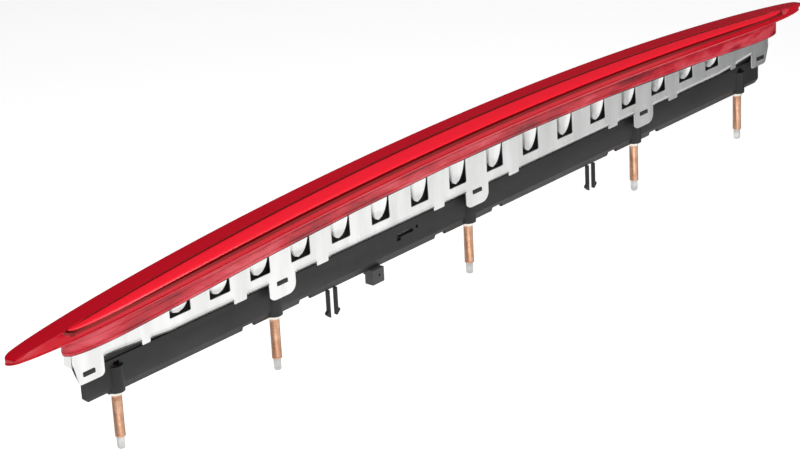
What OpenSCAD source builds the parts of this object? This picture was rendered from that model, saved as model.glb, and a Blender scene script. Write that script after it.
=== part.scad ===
// High-mount third brake light: a long arched lens on a slim black carrier, held by five studs.
// The origin is on the axis of the centre stud, at the foot of its collar, where the free shank starts.
// +X runs along the lamp, +Y to its rear face, +Z up to the lens. The studs point along -Z.

/* [Overall] */
// Length of the lens from tip to tip
overall_length = 642; // [640:1:660]
// Height of the lens crest above the origin
crest_height = 59.8; // [59.4:0.1:62]
// How far the tips lie below the crest
crest_drop = 15.9; // [15:0.1:17]

/* [Lens] */
// Width of the lens at the middle
lens_width = 29.9; // [29.5:0.1:31]
// Thickness of the overhanging flange
flange_t = 5.6; // [5:0.1:6]
// Wall thickness of the lens above its hollow
lens_wall = 2.4; // [2:0.1:2.8]
// Width of the bright strip at the middle
strip_width = 14.4; // [13:0.1:14.6]
// Length of the bright strip
strip_length = 580; // [560:2:582]

/* [Metal rail] */
// Thickness of the sheet
sheet_t = 0.8; // [0.6:0.1:1]
// Width of one window
window_w = 13.8; // [12:0.1:15]
// Pitch of the windows at the middle of the lamp
window_pitch = 31; // [30:0.1:31.4]
// Height of the window sills above the origin
sill_z = 28.7; // [28.1:0.1:29.6]

/* [Carrier] */
// Length of the carrier
carrier_length = 555; // [550:1:560]
// Thickness of the long rib that holds the studs
rib_t = 3; // [2.6:0.1:3.6]
// Height of the rib's lower edge above the origin
rib_foot_z = 1.4; // [1:0.1:2]

/* [Studs] */
// Outer diameter of the stud thread
stud_d = 5; // [4:0.1:5.2]
// Length of the full-diameter shank below the collar
shank_length = 21.4; // [16:0.1:26]
// Distance of the inner pair of studs from the centre stud
inner_stud_x = 150.8; // [145:0.1:156]
// Distance of the outer pair of studs from the centre stud
outer_stud_x = 257.4; // [254:0.1:260]

/* [Snap legs] */
// Distance of each pair of snap legs from the centre stud
snap_pair_x = 108.9; // [100:0.1:112]
// Length of a snap leg below the rib
snap_length = 15.2; // [12:0.1:18]

/* [Hidden] */

// Shared layout
half_length = overall_length / 2;
skirt_half = half_length - 31;
lens_near_y = -18.5;
lens_far_side = [-1.8, lens_near_y + lens_width + 1.8, 2.5, 0.45];
lens_near_side = [-2.4, lens_near_y + 2.4, 6, 0.7];
skirt_far_side = [-4, 11.2, 4, 0.4];
skirt_near_side = [-4, -11.6, 12, 0.5];
strip_near_y = -15.5;
strip_far_side = [-7.5, strip_near_y + strip_width + 7.5, 2, 1];
strip_near_side = [-9.6, strip_near_y + 9.6, 14, 0.7];
brow_y = -14.9;
brow_tilt = 45;
top_tilt = 3;
under_z = 46.2;
under_drop = 13.8;
under_r = arc_r(skirt_half, under_drop);
skirt_t = 2;
ledge_t = 1;
seal_t = 0.5;
strip_gap = 0.8;
strip_groove = 1.5;
outline_steps = 30;
arc_fn = 1600;
past = 1;

// Metal rail
rail_y = -7.5;
rail_end = [-half_length + 33, half_length - 41];
rail_foot_z = 23.3;
rail_lift = 2.8;
rail_lift_x = [228, 262];
window_count = 8;
window_closing = 0.00097;
small_tab_x = [31.3, 121.5, 180, 242.5];
small_tab_w = [8.8, 8.8, 9, 5.6];
small_tab_drop = 2.4;
big_tab_w = 18.8;
big_tab_foot_z = 13.2;
big_tab_corner = 5;
end_tab_foot_z = 16.5;
end_tab_corner = 2.4;
end_tab_taper = [3.2, 11.4];
lug_slot = [7.2, 2.3];
lug_z = 21.1;
end_tab_x = [-278.6, 271.2];
tongue_y = rail_y + 2.2;
tongue_lean = 7;

// Carrier
carrier_half = carrier_length / 2;
rib_y = -2;
floor_z = 24.1;
floor_t = 2;
tray_front_y = -4;
tray_wall = 1.6;
tray_half = 284;
boss_r = 4.5;
boss_foot_z = 2;
boss_top_z = 15.2;
boss_pocket = 2.2;
rib_chamfer = [1.6, 4.2];
end_foot_z = 3;
end_corner = 2.8;
end_foot_x = 262;
notch = [8.4, 2.2];
notch_x = [24, 129, 169.5];
ridge_line = [0.8, 1];
ridge_line_z = 18.4;
stud_x = [-outer_stud_x, -inner_stud_x, 0, inner_stud_x, outer_stud_x];
lug_x = [end_tab_x[0], -inner_stud_x, 0, inner_stud_x, end_tab_x[1]];

// Studs
head_r = stud_d / 2 + 0.2;
head_h = 12;
collar_r = stud_d / 2 + 0.5;
collar_gap = 0.2;
neck_r = stud_d / 2 - 0.5;
tip_r = stud_d / 2 - 0.45;
tip_h = 6.5;

// Board
board_z = 28.6;
board_t = 1.6;
board_half = 226;
board_y = [-2.2, 3.4];
led_size = [5, 4, 1.8];
screw_x = [-207, -122.1, 0, 122.1, 207];
screw_y = 0.6;
cup_top_z = 34.2;
resistor_x = [for (side = [-1, 1]) for (i = [0, 2, 4]) side * (window_x(i + 0.5) + window_x(i + 1.5)) / 2];

// Snap legs
leg_t = 1.3;
leg_depth = 2.2;
leg_gap = 4.3;
leg_barb = [1.3, 4];
leg_root_z = rib_foot_z - 0.3;

// Connector
socket_x = -76.3;
socket_size = [8.8, 5.4, 8];
socket_y = -3;
socket_wall = 0.6;
pin_x = [-2, 2];
wire_y = 2.2;
wire_r = 0.6;
socket_roof_z = rib_foot_z - 0.7;

function arc_r(half, drop) = (half * half + drop * drop) / (2 * drop);

// Plan outlines have a far and a near side, each [y at the tip, bow in the middle, power, root]
function side_y(x, side, grow, reach) =
    side[0] + (side[1] + grow) * pow(max(0, 1 - pow(abs(x) / reach, side[2])), side[3]);
function pinch(x, tip, nose) = let (t = max(0, (abs(x) - tip) / nose + 1)) sqrt(max(0, 1 - t * t));

// Upright prism over such an outline that ends in a round nose at both tips
module plan_prism(tip, spare, nose, far_side, near_side, grow) {
    points = [for (i = [-outline_steps : outline_steps])
        let (x = (tip + grow) * sin(90 * i / outline_steps), reach = tip + grow + spare,
            far = side_y(x, far_side, grow, reach), near = side_y(x, near_side, -grow, reach))
        [x, (far + near) / 2, (far - near) / 2 * pinch(x, tip + grow, nose)]];
    last = len(points) - 1;
    translate([0, 0, -past]) linear_extrude(crest_height + 2 * past)
        polygon(concat(
            [for (p = points) [p[0], p[1] + p[2]]],
            [for (i = [last - 1 : -1 : 1]) [points[i][0], points[i][1] - points[i][2]]]));
}

module lens_plan() plan_prism(half_length, 2, 5, lens_far_side, lens_near_side, 0);
module skirt_plan(inset) plan_prism(skirt_half, 1, 2, skirt_far_side, skirt_near_side, -inset);
module strip_plan(grow) plan_prism(strip_length / 2, 0.5, 4, strip_far_side, strip_near_side, grow);

// Distance of window s from the middle, where s = 0.5, 1.5, 2.5 ...
function window_x(s) = window_pitch * s * (1 - window_closing * s * s);

// Solid below a long arc that is level across the lamp, lifted by dz
module under_arc(dz) {
    translate([0, 40, under_z + dz - under_r]) rotate([90, 0, 0]) cylinder(r = under_r, h = 80, $fn = arc_fn);
}

// Solid below a long arc that tilts about the lens's brow line, lifted by dz
module under_tilted_arc(tilt, dz) {
    r = arc_r(half_length, crest_drop);
    translate([0, brow_y, crest_height + dz]) rotate([tilt, 0, 0]) translate([0, 45, -r])
        rotate([90, 0, 0]) cylinder(r = r, h = 90, $fn = arc_fn);
}

module under_top(dz) under_tilted_arc(-top_tilt, dz);

// Solid below the lens's outer surface: the broad top and the steep brow on its near side
module under_roof(dz) {
    intersection() {
        under_top(dz);
        under_tilted_arc(brow_tilt, dz);
    }
}

module block(x0, x1, y0, y1, z0, z1)
    translate([x0, y0, z0]) cube([x1 - x0, y1 - y0, z1 - z0]);

// The red moulding: an overhanging flange with pointed tips and a hollow skirt below it
module lens_cover() {
    color([0.72, 0.03, 0.07, 0.75]) difference() {
        intersection() {
            lens_plan();
            under_roof(0);
        }
        difference() {
            under_top(-flange_t);
            skirt_plan(0);
        }
        intersection() {
            skirt_plan(skirt_t);
            under_top(-lens_wall);
        }
        under_arc(ledge_t + seal_t);
        difference() {
            strip_plan(strip_gap);
            under_top(-strip_groove);
        }
    }
}

// The bright spindle that fills the groove along the top
module lens_strip() {
    color([0.95, 0.08, 0.15]) difference() {
        intersection() {
            strip_plan(0);
            under_roof(-0.25);
        }
        under_top(-strip_groove + 0.1);
    }
}

// Inner lens with the prisms that show through the skirt
module inner_lens() {
    wall = 1.2;
    gap = 0.6;
    color([0.8, 0.2, 0.25, 0.6]) difference() {
        intersection() {
            skirt_plan(skirt_t + gap);
            under_top(-lens_wall - gap);
        }
        intersection() {
            skirt_plan(skirt_t + gap + wall);
            under_top(-lens_wall - gap - wall);
        }
        under_arc(ledge_t + seal_t + 0.2);
    }
}

// Soft seal between the skirt and the carrier's ledge
module lens_seal() {
    color([0.05, 0.05, 0.05]) difference() {
        intersection() {
            skirt_plan(0.1);
            under_arc(ledge_t + seal_t);
        }
        under_arc(ledge_t);
        skirt_plan(3);
    }
}

// Height of the rail's lower edge at x: level, then a short ramp near each end
function rail_foot(x) =
    rail_foot_z + rail_lift * min(1, max(0, (abs(x) - rail_lift_x[0]) / (rail_lift_x[1] - rail_lift_x[0])));

// Outline of the rail seen from the front
module rail_face() {
    end_z = rail_foot_z + rail_lift;
    polygon([
        [rail_end[0], under_z + past], [rail_end[0], end_z], [-rail_lift_x[1], end_z],
        [-rail_lift_x[0], rail_foot_z], [rail_lift_x[0], rail_foot_z], [rail_lift_x[1], end_z],
        [rail_end[1], end_z], [rail_end[1], under_z + past]]);
    for (side = [-1, 1]) for (i = [0 : len(small_tab_x) - 1])
        translate([side * small_tab_x[i] - small_tab_w[i] / 2, rail_foot(small_tab_x[i]) - small_tab_drop])
            square([small_tab_w[i], small_tab_drop + 2]);
    for (x = stud_x) if (abs(x) <= inner_stud_x) translate([x, 0]) hung_tab(big_tab_foot_z, big_tab_corner);
    translate([end_tab_x[0], 0]) end_tab();
    translate([end_tab_x[1], 0]) mirror([1, 0]) end_tab();
}

// Tab with rounded lower corners that hangs over a lug of the carrier
module hung_tab(foot, c) {
    w = big_tab_w / 2;
    for (side = [-1, 1]) translate([side * (w - c), foot + c]) circle(c, $fn = 32);
    translate([-w, foot + c]) square([2 * w, rail_foot_z + rail_lift + 2 - foot - c]);
    translate([-w + c, foot]) square([2 * (w - c), c]);
}

// Tab at the left end of the rail; its outer side tapers towards the foot
module end_tab() {
    x = -big_tab_w / 2;
    z = end_tab_foot_z;
    difference() {
        hung_tab(z, end_tab_corner);
        polygon([[x - past, z + end_tab_taper[1]], [x, z + end_tab_taper[1]], [x + end_tab_taper[0], z],
            [x + end_tab_taper[0], z - past], [x - past, z - past]]);
    }
}

// Spring tongue in a window: straight sides with a round end
module tongue(top_z) {
    w = window_w / 2 - 1.2;
    h = top_z - sill_z - 1.8;
    rise = min(h - 1, w * 1.5);
    polygon(concat(
        [for (a = [0 : 15 : 180]) [w * cos(a), -h + rise - rise * sin(a)]],
        [[-w, 0], [w, 0]]));
}

module metal_rail() {
    color([0.86, 0.87, 0.85]) {
        difference() {
            intersection() {
                translate([0, rail_y + sheet_t, 0]) rotate([90, 0, 0]) linear_extrude(sheet_t) rail_face();
                under_arc(-0.2);
            }
            for (side = [-1, 1]) for (i = [0 : window_count - 1])
                translate([side * window_x(i + 0.5), 0, 0])
                    block(-window_w / 2, window_w / 2, rail_y - past, rail_y + 3,
                        sill_z, window_top(window_x(i + 0.5)));
            for (x = lug_x)
                block(x - lug_slot[0] / 2, x + lug_slot[0] / 2, rail_y - past, rail_y + 3,
                    lug_z - lug_slot[1] / 2, lug_z + lug_slot[1] / 2);
        }
        for (side = [-1, 1]) for (i = [0 : window_count - 1]) {
            root_z = window_top(window_x(i + 0.5)) + 0.6;
            translate([side * window_x(i + 0.5), rail_y + sheet_t, root_z])
                rotate([90 - tongue_lean, 0, 0]) linear_extrude(sheet_t * 0.75) tongue(root_z);
        }
        for (x = [rail_end[0], rail_end[1] - sheet_t])
            block(x, x + sheet_t, rail_y, rail_y + 6, rail_foot_z + rail_lift, under_z - under_drop - 0.4);
    }
}

// Top edge of the window at x, just under the arc
function window_top(x) = under_z - under_r + sqrt(under_r * under_r - x * x) - 1.5;

// The black carrier: a tray for the board, a ledge for the lens, and a rib with five stud bosses
module housing() {
    color([0.16, 0.16, 0.17]) difference() {
        union() {
            tray();
            rib();
            for (x = stud_x) boss(x);
            for (x = lug_x) lug(x);
            for (x = screw_x) translate([x, screw_y, floor_z])
                cylinder(r = 2, h = board_z - floor_z, $fn = 32);
        }
        for (x = stud_x) stud_void(x);
        for (x = screw_x) translate([x, screw_y, floor_z + 1])
            cylinder(r = 0.8, h = board_z, $fn = 24);
        for (x = pin_x) translate([socket_x + x, wire_y, floor_z - past])
            cylinder(r = wire_r + 0.05, h = floor_t + 2 * past, $fn = 24);
    }
}

module tray() {
    difference() {
        intersection() {
            skirt_plan(0.4);
            block(-tray_half, tray_half, tray_front_y, 30, floor_z, under_z + past);
            under_arc(0);
        }
        intersection() {
            skirt_plan(0.4 + tray_wall);
            block(tray_wall - tray_half, tray_half - tray_wall, tray_front_y + tray_wall, 30,
                floor_z + floor_t, under_z + 5);
        }
    }
    difference() {
        intersection() {
            skirt_plan(0.2);
            under_arc(ledge_t);
        }
        under_arc(0);
        intersection() {
            skirt_plan(0.4 + tray_wall);
            block(tray_wall - tray_half, tray_half - tray_wall, tray_front_y + tray_wall, 30, 0, under_z + 5);
        }
    }
}

// The long rib: a plate with a chamfered lower edge, notches, a slot and a raised line
module rib() {
    profile = [
        [rib_y, floor_z + 0.5], [rib_y, rib_foot_z + rib_chamfer[1]],
        [rib_y + rib_chamfer[0], rib_foot_z], [rib_y + rib_t, rib_foot_z],
        [rib_y + rib_t, floor_z + 0.5]];
    difference() {
        union() {
            rotate([90, 0, 90]) translate([0, 0, -carrier_half]) linear_extrude(carrier_length)
                polygon(profile);
            block(-carrier_half, carrier_half, rib_y - ridge_line[0], rib_y + past,
                ridge_line_z, ridge_line_z + ridge_line[1]);
        }
        for (side = [-1, 1]) {
            for (x = notch_x)
                block(side * x - notch[0] / 2, side * x + notch[0] / 2, -10, 10, 0, rib_foot_z + notch[1]);
            translate([side * (end_foot_x + 20), 0, end_foot_z - 10]) cube([40, 20, 20], center = true);
            translate([side * carrier_half, 0, end_foot_z]) rotate([0, 45, 0])
                cube([end_corner, 20, end_corner], center = true);
        }
        wall_slot();
    }
}

// Hooked through slot with a small round hole beside it
module wall_slot() {
    block(-59.5, -46.5, -10, 10, 12.2, 14);
    block(-59.5, -56.5, -10, 10, 10.4, 12.6);
    translate([-43.6, 0, 13.9]) rotate([90, 0, 0]) cylinder(r = 1, h = 20, center = true, $fn = 24);
}

module boss(x)
    translate([x, 0, boss_foot_z]) cylinder(r = boss_r, h = boss_top_z - boss_foot_z, $fn = 48);

// Lug that reaches through the slot of a tab and holds the rail
module lug(x) {
    w = lug_slot[0] - 0.4;
    h = lug_slot[1] - 0.4;
    block(x - w / 2, x + w / 2, rail_y - 0.5, rib_y + past, lug_z - h / 2, lug_z + h / 2);
}

// Bore for the stud head, and a relief in the foot of the rib that lets the collar sit on the boss
module stud_void(x) {
    translate([x, 0, boss_foot_z - past])
        cylinder(r = head_r, h = boss_top_z - boss_foot_z + past + boss_pocket, $fn = 48);
    translate([x, 0, -past])
        cylinder(r = collar_r + collar_gap, h = boss_foot_z + past, $fn = 48);
}

// One stud: knurled head inside the boss, neck, full shank and a slimmer drive tip
module stud(x) {
    color([0.78, 0.52, 0.38]) translate([x, 0, 0]) {
        translate([0, 0, boss_foot_z]) cylinder(r = head_r, h = head_h, $fn = 48);
        cylinder(r = neck_r, h = boss_foot_z, $fn = 48);
        translate([0, 0, -shank_length]) cylinder(r = stud_d / 2, h = shank_length, $fn = 48);
        translate([0, 0, -shank_length - tip_h]) cylinder(r = tip_r, h = tip_h, $fn = 48);
    }
}

module stud_outer_left() stud(stud_x[0]);
module stud_inner_left() stud(stud_x[1]);
module stud_centre() stud(stud_x[2]);
module stud_inner_right() stud(stud_x[3]);
module stud_outer_right() stud(stud_x[4]);

// Pale rings round the stud necks
module stud_collars() {
    color([0.9, 0.88, 0.82]) for (x = stud_x) translate([x, 0, 0]) difference() {
        cylinder(r = collar_r, h = boss_foot_z, $fn = 48);
        translate([0, 0, -past]) cylinder(r = neck_r, h = boss_foot_z + 2 * past, $fn = 48);
    }
}

// One flexible leg with an outward barb; side is the direction of its barb
module snap_leg(x, side) {
    foot = leg_root_z - snap_length;
    color([0.14, 0.14, 0.15]) translate([x + side * leg_gap / 2, leg_depth / 2, 0]) rotate([90, 0, 0])
        linear_extrude(leg_depth)
            polygon([
                [0, leg_root_z], [side * leg_t, leg_root_z], [side * leg_t, foot + leg_barb[1]],
                [side * (leg_t + leg_barb[0]), foot + leg_barb[1] * 0.75],
                [side * (leg_t + leg_barb[0]), foot + leg_barb[1] * 0.5],
                [side * 0.4, foot], [0, foot]]);
}

module snap_leg_left_outer() snap_leg(-snap_pair_x, -1);
module snap_leg_left_inner() snap_leg(-snap_pair_x, 1);
module snap_leg_right_inner() snap_leg(snap_pair_x, -1);
module snap_leg_right_outer() snap_leg(snap_pair_x, 1);

module led_board() {
    color([0.05, 0.2, 0.1]) difference() {
        block(-board_half, board_half, board_y[0], board_y[1], board_z, board_z + board_t);
        for (x = screw_x) translate([x, screw_y, board_z - past])
            cylinder(r = 1.1, h = board_t + 2 * past, $fn = 24);
        for (x = pin_x) translate([socket_x + x, wire_y, board_z - past])
            cylinder(r = wire_r, h = board_t + 2 * past, $fn = 24);
    }
}

// Sixteen surface-mounted emitters, one above each window
module leds() {
    color([0.95, 0.9, 0.75]) for (side = [-1, 1]) for (i = [0 : window_count - 1])
        translate([side * window_x(i + 0.5), screw_y, board_z + board_t]) {
            translate([-led_size[0] / 2, -led_size[1] / 2, 0]) cube(led_size);
            translate([0, 0, led_size[2]]) cylinder(r1 = 1.5, r2 = 1, h = 0.8, $fn = 32);
        }
}

// Reflector bar with one round cup for each emitter
module reflector_bar() {
    foot = board_z + board_t + 0.2;
    color([0.85, 0.85, 0.88]) difference() {
        block(-board_half, board_half, board_y[0], board_y[1], foot, cup_top_z);
        for (side = [-1, 1]) for (i = [0 : window_count - 1])
            translate([side * window_x(i + 0.5), screw_y, 0]) {
                translate([-led_size[0] / 2 - 0.3, -led_size[1] / 2 - 0.3, foot - past])
                    cube([led_size[0] + 0.6, led_size[1] + 0.6, past + led_size[2] + 0.9]);
                translate([0, 0, foot + led_size[2]])
                    cylinder(r1 = 1.7, r2 = 2.4, h = cup_top_z - foot, $fn = 48);
            }
        for (x = screw_x) translate([x, screw_y, foot - past]) cylinder(r = 2.2, h = 10, $fn = 32);
        for (x = resistor_x)
            block(x - 2.2, x + 2.2, board_y[0] + 0.8, board_y[1] - 0.8, foot - past, foot + 1.6);
    }
}

// Chip resistors halfway between emitters
module resistors() {
    color([0.1, 0.1, 0.1]) for (x = resistor_x)
        translate([x - 1.6, screw_y - 1.2, board_z + board_t]) cube([3.2, 2.4, 0.7]);
}

module board_screws() {
    color([0.75, 0.75, 0.78]) for (x = screw_x) translate([x, screw_y, 0]) {
        translate([0, 0, floor_z + 1.2]) cylinder(r = 0.8, h = board_z + board_t - floor_z - 1.2, $fn = 24);
        translate([0, 0, board_z + board_t]) cylinder(r = 1.9, h = 1.2, $fn = 32);
    }
}

// Small two-way socket that hangs under the rib; its mouth faces down
module connector_shell() {
    w = socket_size[0];
    d = socket_size[1];
    foot = rib_foot_z - 0.1 - socket_size[2];
    t = socket_wall;
    color([0.28, 0.28, 0.29]) translate([socket_x, 0, 0]) difference() {
        union() {
            block(-w / 2, w / 2, socket_y, socket_y + d, foot, rib_foot_z - 0.1);
            block(-w / 2, w / 2, rib_y + rib_t + 0.1, wire_y + 1.3, foot + 5, rib_foot_z + 5);
        }
        block(-w / 2 + t, w / 2 - t, socket_y + t, socket_y + d - t, foot - past, socket_roof_z);
        translate([0.8, socket_y + t + past, foot + 4.4]) rotate([90, 0, 0])
            cylinder(r = 0.8, h = 2 * (t + past), $fn = 24);
        for (x = pin_x) translate([x, wire_y, socket_roof_z]) cylinder(r = wire_r, h = 10, $fn = 24);
    }
}

// Two contact pins inside the socket
module connector_pins() {
    color([0.8, 0.7, 0.4]) for (x = pin_x)
        translate([socket_x + x - 0.32, 0, 0])
            block(0, 0.64, 0.2, 1.7, socket_roof_z - 3.2, socket_roof_z);
}

// Two short leads held between the socket and the board
module lead_wires() {
    color([0.6, 0.1, 0.1]) for (x = pin_x) translate([socket_x + x, wire_y, socket_roof_z])
        cylinder(r = wire_r, h = board_z + board_t - socket_roof_z, $fn = 24);
}

lens_cover();
lens_strip();
inner_lens();
lens_seal();
metal_rail();
housing();
reflector_bar();
led_board();
leds();
resistors();
board_screws();
stud_outer_left();
stud_inner_left();
stud_centre();
stud_inner_right();
stud_outer_right();
stud_collars();
snap_leg_left_outer();
snap_leg_left_inner();
snap_leg_right_inner();
snap_leg_right_outer();
connector_shell();
connector_pins();
lead_wires();
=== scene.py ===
"""High-mount third brake light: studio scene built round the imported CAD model. Lengths are in millimetres
until a mesh is made, where MM turns them into metres."""
import bmesh
import bpy
import math
from mathutils import Matrix, Vector


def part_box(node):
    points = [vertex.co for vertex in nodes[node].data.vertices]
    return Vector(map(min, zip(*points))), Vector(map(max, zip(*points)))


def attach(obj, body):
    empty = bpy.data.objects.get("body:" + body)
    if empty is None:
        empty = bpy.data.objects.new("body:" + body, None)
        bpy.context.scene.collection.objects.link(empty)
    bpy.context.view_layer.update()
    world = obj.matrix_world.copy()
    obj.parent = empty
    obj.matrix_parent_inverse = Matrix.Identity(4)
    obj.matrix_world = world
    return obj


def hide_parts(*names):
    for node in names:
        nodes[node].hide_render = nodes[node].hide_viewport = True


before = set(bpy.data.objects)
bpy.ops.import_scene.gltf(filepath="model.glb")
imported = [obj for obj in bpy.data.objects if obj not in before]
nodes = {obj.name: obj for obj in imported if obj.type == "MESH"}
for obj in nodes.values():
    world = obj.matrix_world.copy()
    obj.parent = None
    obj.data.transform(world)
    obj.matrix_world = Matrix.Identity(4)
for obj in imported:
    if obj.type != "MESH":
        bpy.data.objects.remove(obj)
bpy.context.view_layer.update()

MM = 0.001
TAU = 2 * math.pi

# Lens: plan outline, arch and cross-section
HALF = 321.0
CREST_Z = 59.8
CREST_DROP = 15.9
BROW_Y = -14.9
TOP_SLOPE = math.tan(math.radians(3))
FLANGE_T = 6.0
TIP_T = 4.6
GROOVE_GAP = 1.7
GROOVE_DEPTH = 2.6
SKIRT_HALF = 290.0
STRIP_HALF = 290.0
UNDER_Z = 46.2
UNDER_DROP = 13.8

SKIRT_RISE = 9.4

# Each side of a plan outline: y at the tip, bow in the middle, power, root
LENS_SIDES = ((-1.8, 13.2, 2.5, 0.45), (-2.4, -16.1, 6, 0.7))
SKIRT_SIDES = ((-4, 11.2, 4, 0.4), (-4, -11.6, 12, 0.5))
STRIP_SIDES = ((-7.5, 6.4, 2, 1), (-9.6, -5.9, 14, 0.7))

# Metal rail
RAIL_Y = -7.5
SHEET_T = 0.8
RAIL_END = (-288.0, 280.0)
RAIL_FOOT = 23.3
RAIL_LIFT = 2.8
RAIL_LIFT_X = (228.0, 262.0)
SILL_Z = 28.7
WINDOW_W = 13.8
WINDOW_PITCH = 31
WINDOW_CLOSING = 0.00097
WINDOWS_PER_SIDE = 8
SMALL_TABS = ((31.3, 8.8), (121.5, 8.8), (180.0, 9.0), (242.5, 5.6))
SMALL_TAB_DROP = 2.4
BIG_TAB_W = 18.8
BIG_TAB_FOOT = 13.2
BIG_TAB_CORNER = 5
END_TAB_FOOT = 16.5
END_TAB_CORNER = 2.4
END_TAB_TAPER = (3.2, 11.4)
LUG_SLOT = (7.2, 2.3)
LUG_Z = 21.1
END_LUG_X = (-278.6, 271.2)

# Studs: (radius, height) down the head and neck, then the threaded shank and the drive tip
HEAD_PROFILE = ((2.4, 13.5), (2.7, 13.2), (2.7, 2.4), (2.4, 2.1), (2.4, 0.0))
COLLAR_PROFILE = ((0, 2.0), (2.7, 2.0), (3.0, 1.75), (3.0, 0.7), (2.75, 0.3), (2.75, 0.1), (2.4, 0), (0, 0))
SHANK_R = 2.6
SHANK_LENGTH = 21.4
THREAD_DEPTH = 0.22
THREAD_PITCH = 0.8
TIP_LOBES = 5

# Camera: turn, tilt and roll in degrees, the point it looks at and its distance in metres
CAMERA_ANGLES = (-48.047, 21.5, -2.908)
CAMERA_TARGET = (-62.79, -7.5, 21.79)
CAMERA_DISTANCE = 1.28228
CAMERA_LENS = 112.29

# Studio, in metres
FLOOR_REACH = 9.0
FLOOR_DEPTH = -0.42
LAMP_MIDDLE = (0, 0, 0.03)

LEGS = ("left_outer", "left_inner", "right_inner", "right_outer")
STUDS = ("outer_left", "inner_left", "centre", "inner_right", "outer_right")


def centre(node):
    """Middle of a CAD node's box, in millimetres."""
    low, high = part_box(node)
    return (low + high) / (2 * MM)


STUD_X = [centre("stud_" + name).x for name in STUDS]
LUG_X = [END_LUG_X[0], STUD_X[1], STUD_X[2], STUD_X[3], END_LUG_X[1]]
WINDOW_X = [side * WINDOW_PITCH * s * (1 - WINDOW_CLOSING * s * s)
            for side in (-1, 1) for s in (i + 0.5 for i in range(WINDOWS_PER_SIDE))]


def arc_drop(x, half, drop):
    """How far a circular arc lies below its crest at x."""
    r = (half * half + drop * drop) / (2 * drop)
    return r - math.sqrt(max(0.0, r * r - x * x))


def plan_edges(x, sides, tip, spare, nose, grow=0.0):
    """Near and far edge at x of a plan outline with a round nose at each tip."""
    reach = tip + grow + spare
    (far_y, far_bow, far_n, far_m), (near_y, near_bow, near_n, near_m) = sides
    far = far_y + (far_bow + grow) * max(0.0, 1 - (abs(x) / reach) ** far_n) ** far_m
    near = near_y + (near_bow - grow) * max(0.0, 1 - (abs(x) / reach) ** near_n) ** near_m
    t = max(0.0, (abs(x) - tip - grow) / nose + 1)
    half = (far - near) / 2 * math.sqrt(max(0.0, 1 - t * t))
    return (far + near) / 2 - half, (far + near) / 2 + half


def lens_edges(x):
    return plan_edges(x, LENS_SIDES, HALF, 2, 5)


def skirt_edges(x, inset=0.0):
    return plan_edges(x, SKIRT_SIDES, SKIRT_HALF, 1, 2, -inset)


def strip_edges(x, grow=0.0):
    return plan_edges(x, STRIP_SIDES, STRIP_HALF, 0.5, 4, grow)


def top_z(x, y):
    """Height of the lens's broad top face."""
    return CREST_Z - arc_drop(x, HALF, CREST_DROP) - TOP_SLOPE * (y - BROW_Y)


def under_z(x):
    """Height of the skirt's lower edge."""
    return UNDER_Z - arc_drop(x, SKIRT_HALF, UNDER_DROP)


def eased(t):
    t = min(1.0, max(0.0, t))
    return t * t * (3 - 2 * t)


# ---------------------------------------------------------------- mesh helpers

def piece_from(name, verts, faces, material, body="lamp", replaces=()):
    """A finished piece from points in millimetres."""
    mesh = bpy.data.meshes.new(name)
    mesh.from_pydata([(x * MM, y * MM, z * MM) for x, y, z in verts], [], faces)
    clean = bmesh.new()
    clean.from_mesh(mesh)
    bmesh.ops.remove_doubles(clean, verts=clean.verts, dist=1e-7)
    bmesh.ops.dissolve_degenerate(clean, edges=clean.edges, dist=1e-7)
    bmesh.ops.recalc_face_normals(clean, faces=clean.faces)
    clean.to_mesh(mesh)
    clean.free()
    obj = bpy.data.objects.new(name, mesh)
    bpy.context.scene.collection.objects.link(obj)
    return finish_piece(obj, material, body, replaces)


def finish_piece(obj, material, body="lamp", replaces=()):
    """Gives a piece its material, shading and body, and hides the CAD nodes it stands for."""
    obj.data.materials.clear()
    obj.data.materials.append(material)
    soften(obj)
    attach(obj, body)
    if replaces:
        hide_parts(*replaces)
    return obj


def soften(obj, angle=32):
    """Smooth shading that keeps edges sharper than the angle."""
    obj.data.polygons.foreach_set("use_smooth", [True] * len(obj.data.polygons))
    obj.data.set_sharp_from_angle(angle=math.radians(angle))


def loft(rings, cap=True):
    """Vertices and faces through closed rings that all have the same number of points."""
    count = len(rings[0])
    verts = [p for ring in rings for p in ring]
    faces = []
    for i in range(len(rings) - 1):
        for j in range(count):
            k = (j + 1) % count
            faces.append((i * count + j, i * count + k, (i + 1) * count + k, (i + 1) * count + j))
    if cap:
        faces.append(tuple(range(count))[::-1])
        faces.append(tuple((len(rings) - 1) * count + j for j in range(count)))
    return verts, faces


def joined(parts):
    """One vertex and face list from several."""
    verts, faces = [], []
    for v, f in parts:
        base = len(verts)
        verts += v
        faces += [tuple(base + i for i in face) for face in f]
    return verts, faces


def lathe(profile, centre_xy, segments=40):
    """Closed shell turned about a vertical axis from (radius, z) points, first and last on the axis."""
    cx, cy = centre_xy
    rings = []
    for r, z in profile:
        rings.append([(cx + r * math.cos(TAU * i / segments), cy + r * math.sin(TAU * i / segments), z)
                      for i in range(segments)])
    return loft(rings)


def bevelled_box(x0, x1, y0, y1, z0, z1, c=0.25):
    """Box with chamfered edges."""
    def ring(z, i):
        return [(x0 + i, y0 + c, z), (x0 + c, y0 + i, z), (x1 - c, y0 + i, z), (x1 - i, y0 + c, z),
                (x1 - i, y1 - c, z), (x1 - c, y1 - i, z), (x0 + c, y1 - i, z), (x0 + i, y1 - c, z)]
    return loft([ring(z0, c), ring(z0 + c, 0), ring(z1 - c, 0), ring(z1, c)])


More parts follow.
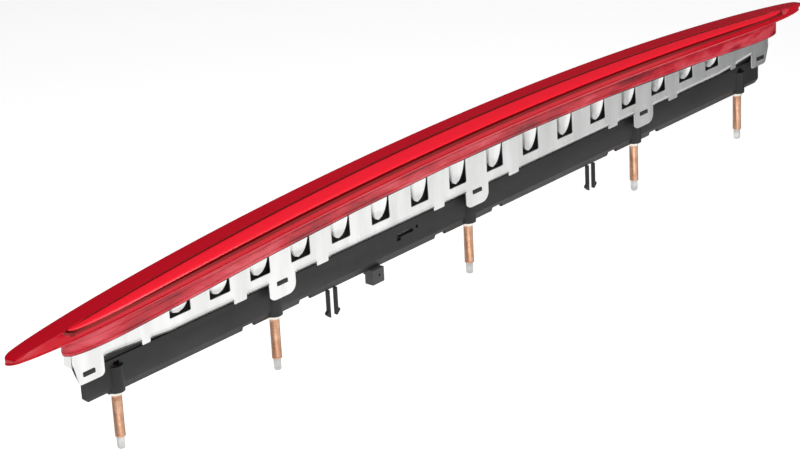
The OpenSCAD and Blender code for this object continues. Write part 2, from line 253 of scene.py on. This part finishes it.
def refined_copy(node, width, material, body="lamp", segments=2):
    """Copy of a CAD node with rounded edges that stands for it."""
    src = nodes[node]
    mesh = src.data.copy()
    clean = bmesh.new()
    clean.from_mesh(mesh)
    bmesh.ops.remove_doubles(clean, verts=clean.verts, dist=2e-6)
    bmesh.ops.dissolve_limit(clean, angle_limit=math.radians(1.2), verts=clean.verts, edges=clean.edges)
    clean.to_mesh(mesh)
    clean.free()
    mesh.name = node + "_skin"
    obj = bpy.data.objects.new(node + "_skin", mesh)
    bpy.context.scene.collection.objects.link(obj)
    bevel = obj.modifiers.new("edge_radius", "BEVEL")
    bevel.width = width * MM
    bevel.segments = segments
    bevel.limit_method = "ANGLE"
    bevel.angle_limit = math.radians(35)
    return finish_piece(obj, material, body, (node,))


# ---------------------------------------------------------------- materials

class Shader:
    """Small helper for writing a Principled node tree."""

    def __init__(self, name):
        self.material = bpy.data.materials.new(name)
        self.material.use_nodes = True
        self.tree = self.material.node_tree
        self.bsdf = self.tree.nodes["Principled BSDF"]

    def set(self, **values):
        for name, value in values.items():
            self.bsdf.inputs[name.replace("_", " ")].default_value = value
        return self

    def node(self, kind, **props):
        node = self.tree.nodes.new(kind)
        for name, value in props.items():
            setattr(node, name, value)
        return node

    def link(self, a, b):
        self.tree.links.new(a, b)

    def position(self, scale=(1, 1, 1)):
        """Object coordinates in metres, stretched by scale."""
        coords = self.node("ShaderNodeTexCoord")
        mapping = self.node("ShaderNodeMapping")
        mapping.inputs["Scale"].default_value = scale
        self.link(coords.outputs["Object"], mapping.inputs["Vector"])
        return mapping.outputs["Vector"]

    def noise(self, scale, detail=3.0, stretch=(1, 1, 1), roughness=0.5):
        node = self.node("ShaderNodeTexNoise")
        node.inputs["Scale"].default_value = scale
        node.inputs["Detail"].default_value = detail
        node.inputs["Roughness"].default_value = roughness
        self.link(self.position(stretch), node.inputs["Vector"])
        return node.outputs["Fac"]

    def ramp(self, value, stops):
        node = self.node("ShaderNodeValToRGB")
        elements = node.color_ramp.elements
        while len(elements) < len(stops):
            elements.new(0.5)
        for element, (place, colour) in zip(elements, stops):
            element.position = place
            element.color = (*colour, 1) if len(colour) == 3 else (colour[0],) * 3 + (1,)
        self.link(value, node.inputs["Fac"])
        return node.outputs["Color"]

    def range(self, value, low, high, a=0.0, b=1.0):
        node = self.node("ShaderNodeMapRange")
        for name, number in (("From Min", a), ("From Max", b), ("To Min", low), ("To Max", high)):
            node.inputs[name].default_value = number
        self.link(value, node.inputs["Value"])
        return node.outputs["Result"]

    def bump(self, height, strength, distance):
        node = self.node("ShaderNodeBump")
        node.inputs["Strength"].default_value = strength
        node.inputs["Distance"].default_value = distance
        self.link(height, node.inputs["Height"])
        self.link(node.outputs["Normal"], self.bsdf.inputs["Normal"])

    def colour(self, output):
        self.link(output, self.bsdf.inputs["Base Color"])

    def roughness(self, output):
        self.link(output, self.bsdf.inputs["Roughness"])


def red_gloss(name, dark, light, rough, coat, painted_glow=None, strength=0.0):
    """Dyed transparent moulding, seen as a deep glossy colour with faint flow marks; an optional emission
    adds a painted glow.
    """
    s = Shader(name)
    s.set(IOR=1.49, Coat_Weight=coat, Coat_Roughness=0.04, Coat_IOR=1.5, Specular_IOR_Level=0.35)
    s.colour(s.ramp(s.noise(14, 3, (0.25, 1, 1)), ((0.3, dark), (0.7, light))))
    s.roughness(s.range(s.noise(260, 2), rough * 0.8, rough * 1.25))
    s.bump(s.noise(900, 2), 0.05, 0.0002)
    if painted_glow:
        s.set(Emission_Color=(*painted_glow, 1), Emission_Strength=strength)
    return s.material


def skirt_red():
    """Clear red wall over prisms: streaks and darker patches from the optics behind it."""
    s = Shader("lens_skirt_red")
    s.set(IOR=1.49, Coat_Weight=0.1, Coat_Roughness=0.08, Coat_IOR=1.5, Specular_IOR_Level=0.4)
    patches = s.noise(70, 4, (0.35, 0.35, 1.3), 0.6)
    s.colour(s.ramp(patches, ((0.34, (0.2, 0.002, 0.008)), (0.5, (0.5, 0.01, 0.024)),
                              (0.62, (0.62, 0.07, 0.09)), (0.75, (0.34, 0.01, 0.025)))))
    s.roughness(s.range(s.noise(140, 3), 0.12, 0.3))
    s.bump(s.noise(420, 3, (0.4, 0.4, 1)), 0.25, 0.0004)
    return s.material


def sheet_metal():
    """Bright rolled sheet with fine vertical drawing marks and soft smears."""
    s = Shader("rolled_bright_sheet")
    s.set(Metallic=1.0)
    s.colour(s.ramp(s.noise(40, 4, (3, 1, 0.4)), ((0.3, (0.74, 0.745, 0.73)), (0.7, (0.88, 0.885, 0.87)))))
    s.roughness(s.range(s.noise(120, 4, (4, 1, 0.25)), 0.2, 0.42))
    s.bump(s.noise(700, 2, (5, 1, 0.12)), 0.12, 0.0003)
    return s.material


def moulded_black(name, low, high, rough=(0.38, 0.55), grain=1600):
    """Moulded plastic with fine spark-eroded grain and faint grey flow."""
    s = Shader(name)
    s.set(IOR=1.5, Specular_IOR_Level=0.3)
    s.colour(s.ramp(s.noise(60, 4, (0.3, 1, 1)), ((0.3, (low,)), (0.72, (high,)))))
    s.roughness(s.range(s.noise(180, 3), *rough))
    s.bump(s.noise(grain, 3), 0.18, 0.0002)
    return s.material


def plated(name, dark, light, rough=(0.22, 0.4), metallic=1.0):
    """Plated steel with patchy colour and fine turning marks."""
    s = Shader(name)
    s.set(Metallic=metallic)
    s.colour(s.ramp(s.noise(220, 4), ((0.3, dark), (0.7, light))))
    s.roughness(s.range(s.noise(500, 3), *rough))
    s.bump(s.noise(900, 2, (1, 1, 4)), 0.1, 0.0002)
    return s.material


def satin(name, dark, light, rough=(0.35, 0.5), scale=300):
    """Plain moulded or coated surface with slight colour drift."""
    s = Shader(name)
    s.colour(s.ramp(s.noise(scale, 3), ((0.35, dark), (0.65, light))))
    s.roughness(s.range(s.noise(scale * 2, 2), *rough))
    s.bump(s.noise(scale * 5, 2), 0.1, 0.0002)
    return s.material


FLANGE = red_gloss("lens_flange_red", (0.5, 0.002, 0.012), (0.62, 0.004, 0.018), 0.16, 0.0)
# Darker red for the groove faces and the strip's side walls: painted shade of the recess.
GROOVE_SHADE = red_gloss("lens_groove_painted_shade", (0.2, 0.0, 0.001), (0.27, 0.0, 0.002), 0.45, 0.0)
# The strip's faint emission is a painted glow that brightens it; the strip does not light up.
STRIP = red_gloss("lens_strip_red_painted_glow", (0.93, 0.008, 0.024), (1.0, 0.012, 0.034), 0.3, 0.15,
                  (1.0, 0.01, 0.03), 0.1)
SKIRT = skirt_red()
PRISM = red_gloss("inner_prism_red", (0.2, 0.01, 0.02), (0.4, 0.03, 0.05), 0.2, 0.3)
METAL = sheet_metal()
BLACK = moulded_black("moulded_black", 0.012, 0.022)
GREY = moulded_black("connector_grey", 0.045, 0.075, (0.45, 0.6))
RUBBER = satin("seal_rubber", (0.008, 0.008, 0.008), (0.02, 0.018, 0.018), (0.6, 0.8), 200)
COPPER = plated("copper_plating", (0.52, 0.27, 0.16), (0.74, 0.45, 0.3))
COLLAR = plated("collar_plating", (0.72, 0.68, 0.6), (0.9, 0.87, 0.8), (0.25, 0.4), 0.7)
TIP = plated("bare_steel_tip", (0.36, 0.37, 0.36), (0.62, 0.62, 0.6), (0.3, 0.4))
MIRROR = plated("mirror_plastic", (0.8, 0.8, 0.81), (0.9, 0.9, 0.9), (0.05, 0.12))
BOARD = satin("green_board", (0.006, 0.05, 0.02), (0.012, 0.08, 0.035))
EMITTER = satin("emitter_resin", (0.75, 0.7, 0.5), (0.95, 0.9, 0.72), (0.1, 0.2))
CHIP = satin("chip_black", (0.01, 0.01, 0.01), (0.03, 0.03, 0.03))
ZINC = plated("zinc_plating", (0.55, 0.56, 0.57), (0.78, 0.78, 0.8))
PIN = plated("tinned_pin", (0.6, 0.52, 0.3), (0.8, 0.72, 0.45))
SLEEVE = satin("wire_sleeve", (0.28, 0.01, 0.01), (0.4, 0.02, 0.02))


# ---------------------------------------------------------------- lens

def stations(half, step, fine=14):
    """Places along X: even in the middle, closer together towards both ends."""
    count = int(half / step)
    right = [half * math.sin(0.5 * math.pi * i / count) for i in range(count + 1)]
    nose = [half - 6 * (1 - i / fine) ** 2 for i in range(fine + 1)]
    right = sorted(set(round(v, 4) for v in right[:-1] + nose))
    return [-v for v in right[:0:-1]] + right


def flange_section(x):
    """Cross-section of the flange slab at x, from its far edge over the top to the near edge and back."""
    near, far = lens_edges(x)
    w = (far - near) / 2
    size = min(1.0, w / 13)
    blunt = 1 - min(1.0, (HALF - abs(x)) / 2.4)
    sink = 1.3 * (1 - math.sqrt(1 - blunt * blunt))
    thick = TIP_T + (FLANGE_T - TIP_T) * size - 1.5 * sink
    strip_near, strip_far = strip_edges(x, 1.0)
    deep = min(1.0, (strip_far - strip_near) / 3)
    gap, depth = GROOVE_GAP * deep, GROOVE_DEPTH * deep
    roll = min(1.4, w * 0.5)
    g_far = min(strip_far + 0.1 * gap, far - roll - 0.02)
    g_near = min(max(strip_near - 0.3 * gap, near + 0.25 * w * (w < 4) + 0.7 * (w >= 4)), g_far)
    points = []

    def add(y, down):
        points.append((x, y, top_z(x, y) - sink - down))

    for i in range(6):
        a = 0.5 * math.pi * i / 5
        add(far - roll * (1 - math.cos(a)), roll * (1 - math.sin(a)))
    for i in range(1, 5):
        add(far - roll + (g_far - far + roll) * i / 5, 0)
    soft = min(0.4, gap)
    add(g_far + 0.25 * soft, 0)
    add(g_far - 0.25 * soft, 0.2 * depth)
    add(g_far - soft, depth)
    add(g_near + soft, depth)
    add(g_near + 0.25 * soft, 0.6 * depth)
    lip = 0.5 * depth + 0.5 * size * (1 - deep)
    add(g_near - 0.2 * soft, lip)
    bead = 1.4 * size + 0.8 * (1 - size)
    fall = thick - bead
    for i in range(1, 8):
        t = i / 7
        y = g_near + (near + 0.5 - g_near) * (1 - (1 - t) ** 1.6)
        add(y, lip + (fall - lip) * t)
    for i in range(1, 8):
        a = math.pi * i / 7
        tuck = max(0.0, i / 7 - 0.5) * min(1.0, w * 0.4)
        add(near + 0.5 - 0.5 * math.sin(a) + tuck * 1.2, fall + (thick - fall) * (1 - math.cos(a)) / 2)
    for i in range(1, 7):
        t = i / 7
        y = near + (far - near) * t
        add(y + 0.06 * w * (1 - 2 * t), thick - 1.2 * t * (FLANGE_T - TIP_T) * size)
    add(far - 0.15 * roll, max(roll, thick - 1.9))
    return points


def build_flange():
    """Overhanging flange; the faces of the groove in it get the darker red, which is painted shade."""
    rings = [flange_section(x) for x in stations(HALF, 3.2)]
    verts, faces = loft(rings)
    flange = piece_from("lens_flange", verts, faces, FLANGE, replaces=("lens_cover",))
    flange.data.materials.append(GROOVE_SHADE)
    # Faces inside the groove get the darker red as painted shade.
    for face in flange.data.polygons:
        x, y, z = (v / MM for v in face.center)
        near, far = strip_edges(x, 2.2)
        if near < y < far and 0.12 < top_z(x, y) - z < GROOVE_DEPTH + 0.1 and abs(x) < STRIP_HALF + 3:
            if face.normal.z > 0.5 or face.normal.y < 0 or y > (near + far) / 2:
                face.material_index = 1


def skirt_loop(inset, count=150):
    """Closed outline of the skirt in plan, with its points closer together at the ends."""
    pts = []
    for side in (1, -1):
        for i in range(count):
            x = (SKIRT_HALF - inset) * math.cos(math.pi * i / count) * side
            near, far = skirt_edges(x, inset)
            pts.append((x, far if side > 0 else near))
    return pts


def build_skirt():
    """Hollow skirt below the flange, with a foot bead and two fine steps."""
    levels = (
        (0.55, 0.0), (0.12, 0.25), (0.0, 0.7), (0.0, 1.6), (0.28, 1.75), (0.28, 2.2), (0.05, 2.4),
        (0.0, 5.6), (0.22, 5.75), (0.22, 6.1), (0.0, 6.3), (0.0, SKIRT_RISE),
        (2.0, SKIRT_RISE), (2.0, 0.4), (1.6, 0.0))
    rings = []
    for inset, up in levels:
        loop = skirt_loop(inset)
        rings.append([(x, y, under_z(x) + 0.05 + up) for x, y in loop])
    rings.append(rings[0])
    verts, faces = loft(rings, cap=False)
    piece_from("lens_skirt", verts, faces, SKIRT, replaces=("lens_cover",))


def build_strip():
    """Gently crowned bright strip in the groove."""
    rings = []
    for x in stations(STRIP_HALF, 3.4):
        near, far = strip_edges(x)
        middle, w = (near + far) / 2, max(0.03, (far - near) / 2)
        size = min(1.0, w / 3)
        ring = []
        for i in range(13):
            t = i / 6 - 1
            y = middle + w * t
            crown = 0.25 * size * (1 - t * t) - 0.35 * size * abs(t) ** 10
            ring.append((x, y, top_z(x, y) - 0.4 * size + crown))
        for t in (1.0, 0.0, -1.0):
            y = middle + w * t
            ring.append((x, y, top_z(x, y) - GROOVE_DEPTH * size - 0.1))
        rings.append(ring)
    verts, faces = loft(rings)
    strip = piece_from("lens_strip_crowned", verts, faces, STRIP, replaces=("lens_strip",))
    strip.data.materials.append(GROOVE_SHADE)
    # The strip's steep side faces get the darker red as painted shade.
    for face in strip.data.polygons:
        if face.normal.z < 0.6:
            face.material_index = 1


def build_inner_lens():
    """Inner lens whose outer wall is a row of small upright prisms."""
    count = 640
    rings = []
    for inset, up, prism in ((2.6, 1.9, 1), (2.6, 8.2, 1), (3.8, 8.2, 0), (3.8, 1.9, 0)):
        ring = []
        for i in range(count):
            t = TAU * i / count
            x = (SKIRT_HALF - inset) * math.copysign(abs(math.cos(t)) ** 0.8, math.cos(t))
            near, far = skirt_edges(x, inset + 0.25 * prism * (i % 2))
            ring.append((x, far if t < math.pi else near, under_z(x) + up))
        rings.append(ring)
    rings.append(rings[0])
    verts, faces = loft(rings, cap=False)
    piece_from("inner_lens_prisms", verts, faces, PRISM, replaces=("inner_lens",))


# ---------------------------------------------------------------- metal rail

def rail_foot(x):
    """Height of the sheet's lower edge, which rises towards both ends."""
    t = (abs(x) - RAIL_LIFT_X[0]) / (RAIL_LIFT_X[1] - RAIL_LIFT_X[0])
    return RAIL_FOOT + RAIL_LIFT * min(1.0, max(0.0, t))


def window_top(x):
    """Height of a window's upper edge, hidden just behind the skirt."""
    return under_z(x) - 1.5


def corner(cx, cz, r, start, end, steps=6):
    """Arc points about (cx, cz) from one angle to another, in degrees."""
    return [(cx + r * math.cos(math.radians(start + (end - start) * i / steps)),
             cz + r * math.sin(math.radians(start + (end - start) * i / steps))) for i in range(steps + 1)]


def rail_outline():
    """Closed outline of the flat sheet in X and Z, lower edge from left to right, then back along the top."""
    tabs = [(side * x, w, "small") for x, w in SMALL_TABS for side in (-1, 1)]
    tabs += [(x, BIG_TAB_W, "big") for x in LUG_X[1:4]]
    tabs += [(x, BIG_TAB_W, "end") for x in (LUG_X[0], LUG_X[4])]
    pts = []
    for x, w, kind in sorted(tabs):
        x0, x1 = max(x - w / 2, RAIL_END[0]), min(x + w / 2, RAIL_END[1])
        z0, z1 = rail_foot(x0), rail_foot(x1)
        pts.append((x0, z0))
        if kind == "small":
            foot = rail_foot(x) - SMALL_TAB_DROP
            pts += [(x0 + 0.25, foot + 0.2), (x0 + 0.5, foot), (x1 - 0.5, foot), (x1 - 0.25, foot + 0.2)]
        elif kind == "big":
            r = BIG_TAB_CORNER
            pts += corner(x0 + 4.6, BIG_TAB_FOOT + r, r, 180, 270)[2:]
            pts += corner(x1 - r, BIG_TAB_FOOT + r, r, 270, 360)
        else:
            across, up = END_TAB_TAPER
            foot, r = END_TAB_FOOT, END_TAB_CORNER
            outer = [(0, up), (across * 0.88, 1.2), (across + 0.9, 0.1)]
            if x < 0:
                pts += [(x0 + a, foot + b) for a, b in outer]
                pts += corner(x1 - r, foot + r, r, 270, 360)
            else:
                pts += corner(x0 + r, foot + r, r, 180, 270)
                pts += [(x1 - a, foot + b) for a, b in outer[::-1]]
        pts.append((x1, z1))
    steps = 72
    top = []
    for i in range(steps + 1):
        x = RAIL_END[1] + (RAIL_END[0] - RAIL_END[1]) * i / steps
        top.append((x, under_z(x) - 0.2))
    return insert_lift_points(pts) + top


def insert_lift_points(pts):
    """Adds the two ends of each ramp of the lower edge where no tab covers them."""
    def on_edge(point):
        return abs(point[1] - rail_foot(point[0])) < 0.01

    out = []
    for here, after in zip(pts, pts[1:]):
        out.append(here)
        for side in (-1, 1):
            for x in (side * e for e in RAIL_LIFT_X):
                if on_edge(here) and on_edge(after) and here[0] < x < after[0]:
                    out.append((x, rail_foot(x)))
    return out + [pts[-1]]


def flat_sheet(name, outline, holes, thickness, y, bevel=0.12):
    """Sheet in the XZ plane with holes and rounded edges, as a mesh."""
    curve = bpy.data.curves.new(name, "CURVE")
    curve.dimensions = "2D"
    curve.fill_mode = "BOTH"
    curve.extrude = (thickness / 2 - bevel) * MM
    curve.bevel_depth = bevel * MM
    curve.bevel_resolution = 1
    curve.offset = -bevel * MM
    for loop in [outline] + holes:
        spline = curve.splines.new("POLY")
        spline.points.add(len(loop) - 1)
        for point, (a, b) in zip(spline.points, loop):
            point.co = (a * MM, b * MM, 0, 1)
        spline.use_cyclic_u = True
    shape = bpy.data.objects.new(name, curve)
    bpy.context.scene.collection.objects.link(shape)
    bpy.context.view_layer.update()
    mesh = bpy.data.meshes.new_from_object(shape.evaluated_get(bpy.context.evaluated_depsgraph_get()))
    bpy.data.objects.remove(shape)
    mesh.name = name
    upright = Matrix(((1, 0, 0, 0), (0, 0, -1, (y + thickness / 2) * MM), (0, 1, 0, 0), (0, 0, 0, 1)))
    mesh.transform(upright)
    obj = bpy.data.objects.new(name, mesh)
    bpy.context.scene.collection.objects.link(obj)
    return obj


def build_rail():
    """Flat sheet with its windows and slots, then its tongues, lip and ends."""
    holes = []
    for x in WINDOW_X:
        x0, x1, top = x - WINDOW_W / 2, x + WINDOW_W / 2, window_top(x)
        slope = (window_top(x1) - window_top(x0)) / 2
        r = 0.7
        holes.append(corner(x0 + r, SILL_Z + r, r, 270, 180, 3) + [(x0, top - slope), (x1, top + slope)]
                     + corner(x1 - r, SILL_Z + r, r, 0, -90, 3))
    for x in LUG_X:
        w, h = LUG_SLOT[0] / 2, LUG_SLOT[1] / 2
        holes.append([(x - w, LUG_Z - h), (x - w, LUG_Z + h), (x + w, LUG_Z + h), (x + w, LUG_Z - h)])
    sheet = flat_sheet("metal_rail_sheet", rail_outline(), holes, SHEET_T, RAIL_Y)
    finish_piece(sheet, METAL, replaces=("metal_rail",))
    build_tongues()
    build_rail_lip()
    build_rail_ends()


def build_tongues():
    """Dished spring tongues, one in each window, that lean inwards."""
    across, down = 14, 14
    parts = []
    for x in WINDOW_X:
        top = window_top(x) + 0.7
        height = top - SILL_Z - 0.6
        half = WINDOW_W / 2 - 0.4
        slope = (window_top(x + 1) - window_top(x - 1)) / 2
        front, back = [], []
        for i in range(down + 1):
            v = i / down
            w = max(half * max(0.0, 1 - v ** 3.2) ** 0.6, 0.05)
            for ring, lift in ((front, 0.0), (back, 0.5)):
                row = []
                for j in range(across + 1):
                    u = 2 * j / across - 1
                    rim = max(abs(u) ** 3, eased((v - 0.7) / 0.3))
                    dish = 0.7 * (1 - rim) * eased(v / 0.3)
                    y = RAIL_Y + 0.25 + 1.3 * math.sin(0.5 * math.pi * v) + dish + lift
                    row.append((x + w * u, y, top + slope * w * u * (1 - v) - v * height))
                ring.append(row)
        rings = [f + b[::-1] for f, b in zip(front, back)]
        parts.append(loft(rings))
    verts, faces = joined(parts)
    piece_from("metal_rail_tongues", verts, faces, METAL, replaces=("metal_rail",))


def build_rail_lip():
    """Lower edge of the sheet turned outwards between the tabs, with a small radius."""
    tabs = [(side * x, w) for x, w in SMALL_TABS for side in (-1, 1)] + [(x, BIG_TAB_W) for x in LUG_X]
    spans, left = [], None
    for x, w in sorted(tabs):
        if left is not None and x - w / 2 - left > 3:
            spans.append((left + 0.3, x - w / 2 - 0.3))
        left = x + w / 2
    parts = []
    for x0, x1 in spans:
        count = max(4, int((x1 - x0) / 6))
        rings = []
        for i in range(count + 1):
            x = x0 + (x1 - x0) * i / count
            z = rail_foot(x)
            ring = []
            for k in range(6):
                a = 0.5 * math.pi * k / 5
                ring.append((x, RAIL_Y - 0.9 * (1 - math.cos(a)), z + 1.7 - 1.7 * math.sin(a)))
            for k in range(5, -1, -1):
                a = 0.5 * math.pi * k / 5
                ring.append((x, RAIL_Y + 0.45 - 0.75 * (1 - math.cos(a)), z + 1.7 - 2.1 * math.sin(a)))
            rings.append(ring)
        parts.append(loft(rings))
    verts, faces = joined(parts)
    piece_from("metal_rail_lip", verts, faces, METAL, replaces=("metal_rail",))


def build_rail_ends():
    """Short flanges turned back at both ends of the sheet."""
    parts = []
    for x, side in ((RAIL_END[0], 1), (RAIL_END[1], -1)):
        x0, x1 = sorted((x, x + side * SHEET_T))
        top = under_z(x) - 0.3
        parts.append(bevelled_box(x0, x1, RAIL_Y + 0.1, RAIL_Y + 6, rail_foot(x), top, 0.15))
    verts, faces = joined(parts)
    piece_from("metal_rail_ends", verts, faces, METAL, replaces=("metal_rail",))


# ---------------------------------------------------------------- studs, legs, connector

def build_studs():
    """Shank, tip and collar of every stud."""
    for name, x in zip(STUDS, STUD_X):
        verts, faces = stud_shank(x)
        piece_from("stud_shank_" + name, verts, faces, COPPER, replaces=("stud_" + name,))
        verts, faces = stud_tip(x)
        piece_from("stud_tip_" + name, verts, faces, TIP, replaces=("stud_" + name,))
    parts = []
    for x in STUD_X:
        parts.append(lathe(COLLAR_PROFILE, (x, 0)))
    verts, faces = joined(parts)
    piece_from("stud_collar_rings", verts, faces, COLLAR, replaces=("stud_collars",))


def stud_shank(x, segments=28):
    """Shank with a rolled helical thread that fades out at both ends."""
    pitch, length = THREAD_PITCH, SHANK_LENGTH
    steps = int(length / pitch * 5)
    rings = [[(x, 0, HEAD_PROFILE[0][1])] * segments]
    for r, z in HEAD_PROFILE:
        rings.append([(x + r * math.cos(TAU * i / segments), r * math.sin(TAU * i / segments), z)
                      for i in range(segments)])
    for k in range(steps + 1):
        z = -length * k / steps
        fade = min(1.0, k / 6, (steps - k) / 6)
        ring = []
        for i in range(segments):
            phase = (z / pitch + i / segments) % 1.0
            crest = abs(2 * phase - 1)
            r = SHANK_R - THREAD_DEPTH * fade * crest
            ring.append((x + r * math.cos(TAU * i / segments), r * math.sin(TAU * i / segments), z))
        rings.append(ring)
    rings.append([(x, 0, -length)] * segments)
    return loft(rings, cap=False)


def stud_tip(x, segments=60):
    """Bare lobed drive tip with a chamfered end."""
    rings = [[(x, 0, -21)] * segments]
    for z, r, depth in ((-21, 2.05, 0), (-21.6, 2.05, 0), (-22, 2.05, 0.35), (-27, 2.05, 0.35),
                        (-27.6, 1.85, 0.3), (-27.9, 1.5, 0.1)):
        ring = []
        for i in range(segments):
            a = TAU * i / segments
            q = r - depth * (0.5 - 0.5 * math.cos(TIP_LOBES * a))
            ring.append((x + q * math.cos(a), q * math.sin(a), z))
        rings.append(ring)
    rings.append([(x, 0, -27.9)] * segments)
    return loft(rings, cap=False)


def build_carrier():
    """Copies of the moulded CAD nodes with small edge radii."""
    refined_copy("housing", 0.3, BLACK)
    for name in LEGS:
        refined_copy(f"snap_leg_{name}", 0.18, BLACK, "leg_" + name)
    refined_copy("connector_shell", 0.25, GREY)
    refined_copy("lens_seal", 0.1, RUBBER, segments=1)


def finish_hidden_nodes():
    """Procedural finishes for the CAD nodes that are carried over."""
    for name, material in (("reflector_bar", MIRROR), ("led_board", BOARD), ("leds", EMITTER),
                           ("resistors", CHIP), ("board_screws", ZINC), ("connector_pins", PIN),
                           ("lead_wires", SLEEVE)):
        mesh = nodes[name].data
        mesh.materials.clear()
        mesh.materials.append(material)


# ---------------------------------------------------------------- camera and studio

def aim(obj, target):
    """Turns a light or card to face a point."""
    direction = Vector(target) - obj.location
    obj.rotation_euler = direction.to_track_quat("-Z", "Y").to_euler()


def build_camera():
    """Camera in front of the left end, looking along the lamp and a little down."""
    azimuth, elevation, roll = (math.radians(v) for v in CAMERA_ANGLES)
    target = Vector(CAMERA_TARGET) * MM
    back = Vector((math.cos(elevation) * math.sin(azimuth), -math.cos(elevation) * math.cos(azimuth),
                   math.sin(elevation)))
    level = Vector((math.cos(azimuth), math.sin(azimuth), 0))
    up = back.cross(level)
    right = math.cos(roll) * level + math.sin(roll) * up
    up = -math.sin(roll) * level + math.cos(roll) * up
    data = bpy.data.cameras.new("camera")
    data.sensor_width = 36
    data.lens = CAMERA_LENS
    data.clip_start = 0.05
    data.clip_end = 60
    camera = bpy.data.objects.new("camera", data)
    bpy.context.scene.collection.objects.link(camera)
    place = Matrix((right, up, back)).transposed().to_4x4()
    place.translation = target + back * CAMERA_DISTANCE
    camera.matrix_world = place
    bpy.context.scene.camera = camera


def card(name, size, place, target, colour, strength):
    """Flat studio card that shows in reflections, throws no shadow and isn't seen by the camera."""
    mesh = bpy.data.meshes.new(name)
    w, h = size[0] / 2, size[1] / 2
    mesh.from_pydata([(-w, -h, 0), (w, -h, 0), (w, h, 0), (-w, h, 0)], [], [(0, 1, 2, 3)])
    obj = bpy.data.objects.new(name, mesh)
    bpy.context.scene.collection.objects.link(obj)
    obj.location = place
    aim(obj, target)
    s = Shader(name)
    s.set(Base_Color=(*colour, 1), Roughness=0.9, Emission_Color=(*colour, 1), Emission_Strength=strength)
    mesh.materials.append(s.material)
    obj.visible_camera = False
    obj.visible_shadow = False


def area_light(name, size, place, target, power):
    data = bpy.data.lights.new(name, "AREA")
    data.shape = "RECTANGLE"
    data.size, data.size_y = size
    data.energy = power
    obj = bpy.data.objects.new(name, data)
    bpy.context.scene.collection.objects.link(obj)
    obj.location = place
    aim(obj, target)


def build_studio():
    """World that is white below and dark overhead, pale floor, two soft lights and one shading card."""
    world = bpy.data.worlds.new("studio")
    bpy.context.scene.world = world
    world.use_nodes = True
    tree = world.node_tree
    coords = tree.nodes.new("ShaderNodeTexCoord")
    lean = tree.nodes.new("ShaderNodeVectorMath")
    lean.operation = "DOT_PRODUCT"
    lean.inputs[1].default_value = (0.0, 0.6, 0.8)
    ramp = tree.nodes.new("ShaderNodeValToRGB")
    ramp.color_ramp.elements[0].position = 0.02
    ramp.color_ramp.elements[0].color = (1, 1, 1, 1)
    ramp.color_ramp.elements[1].position = 0.2
    ramp.color_ramp.elements[1].color = (0.04, 0.04, 0.045, 1)
    tree.links.new(coords.outputs["Generated"], lean.inputs[0])
    tree.links.new(lean.outputs["Value"], ramp.inputs["Fac"])
    background = tree.nodes["Background"]
    tree.links.new(ramp.outputs["Color"], background.inputs["Color"])
    background.inputs["Strength"].default_value = 0.9
    mesh = bpy.data.meshes.new("studio_floor")
    reach, depth = FLOOR_REACH, FLOOR_DEPTH
    mesh.from_pydata([(-reach, -reach, depth), (reach, -reach, depth), (reach, reach, depth),
                      (-reach, reach, depth)], [], [(0, 1, 2, 3)])
    floor = bpy.data.objects.new("studio_floor", mesh)
    bpy.context.scene.collection.objects.link(floor)
    s = Shader("studio_floor")
    s.set(Base_Color=(0.93, 0.93, 0.93, 1), Roughness=0.9, Emission_Color=(1, 1, 1, 1),
          Emission_Strength=0.62)
    mesh.materials.append(s.material)
    area_light("key", (1.6, 1.0), (-0.9, -1.3, 1.7), LAMP_MIDDLE, 26)
    area_light("top", (1.8, 0.7), (0.1, 0.5, 1.6), LAMP_MIDDLE, 14)
    card("shade_right", (0.9, 0.55), (0.97, -0.12, -0.16), (0.22, 0, 0.03), (0.04, 0.045, 0.05), 0.0)


# ---------------------------------------------------------------- run

bpy.context.scene.view_settings.view_transform = "Standard"
build_camera()
build_studio()
build_flange()
build_skirt()
build_strip()
build_inner_lens()
build_rail()
build_studs()
build_carrier()
finish_hidden_nodes()
